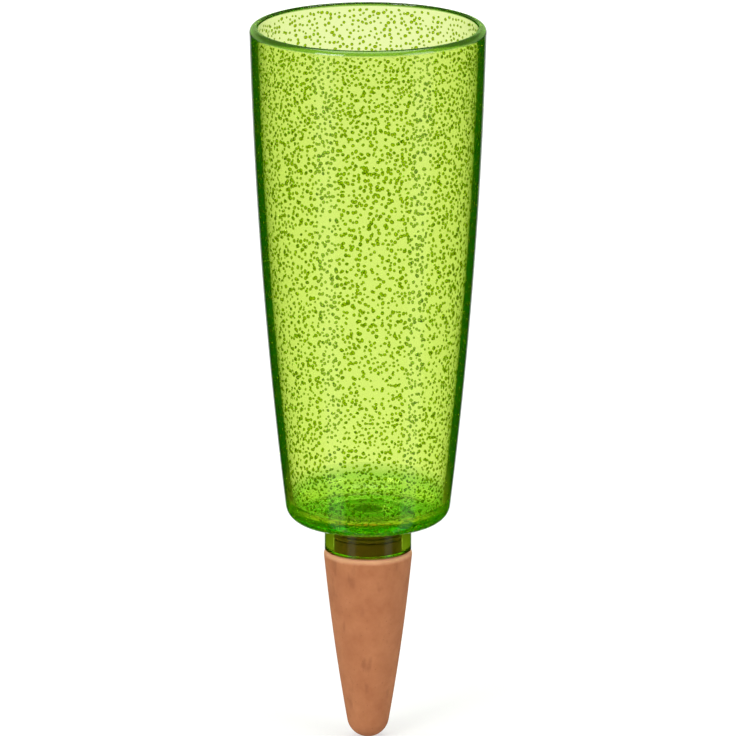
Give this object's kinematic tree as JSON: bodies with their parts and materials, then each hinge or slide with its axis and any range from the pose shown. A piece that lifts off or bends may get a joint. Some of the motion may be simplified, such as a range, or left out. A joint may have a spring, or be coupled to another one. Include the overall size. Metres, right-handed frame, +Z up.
{
  "type": "self watering spike",
  "caption": "Open bubble-walled plastic cup on a clear neck over a porous clay cone; pressed into soil, it feeds water to a plant through the clay.",
  "frame": {"origin": "middle of the clay cone's shoulder, at the soil line, where the neck rests on the clay", "axes": "+Z up along the spike's own axis, from the cone's tip to the open mouth; the spike is round, so X and Y are free"},
  "size_m": [0.0948, 0.0948, 0.297],
  "materials": {
    "bubble_plastic": "clear green moulded plastic with air bubbles in the wall, polished",
    "clear_plastic": "clear green moulded plastic, polished",
    "silicone": "matte red-brown silicone",
    "terracotta": "unglazed fired clay, matte"
  },
  "bodies": {
    "clay_cone": {"clay_cone": "terracotta"},
    "sealing_ring": {"sealing_ring": "silicone"},
    "reservoir": {"reservoir_cup": "bubble_plastic", "socket_neck": "clear_plastic"}
  },
  "joints": [
    {"name": "reservoir_turn", "type": "hinge", "parent": "clay_cone", "child": "sealing_ring", "pos_m": [0, 0, 0], "axis": [0, 0, 1], "continuous": true},
    {"name": "reservoir_lift", "type": "slide", "parent": "sealing_ring", "child": "reservoir", "axis": [0, 0, 1], "range_m": [0, 0.03]}
  ]
}
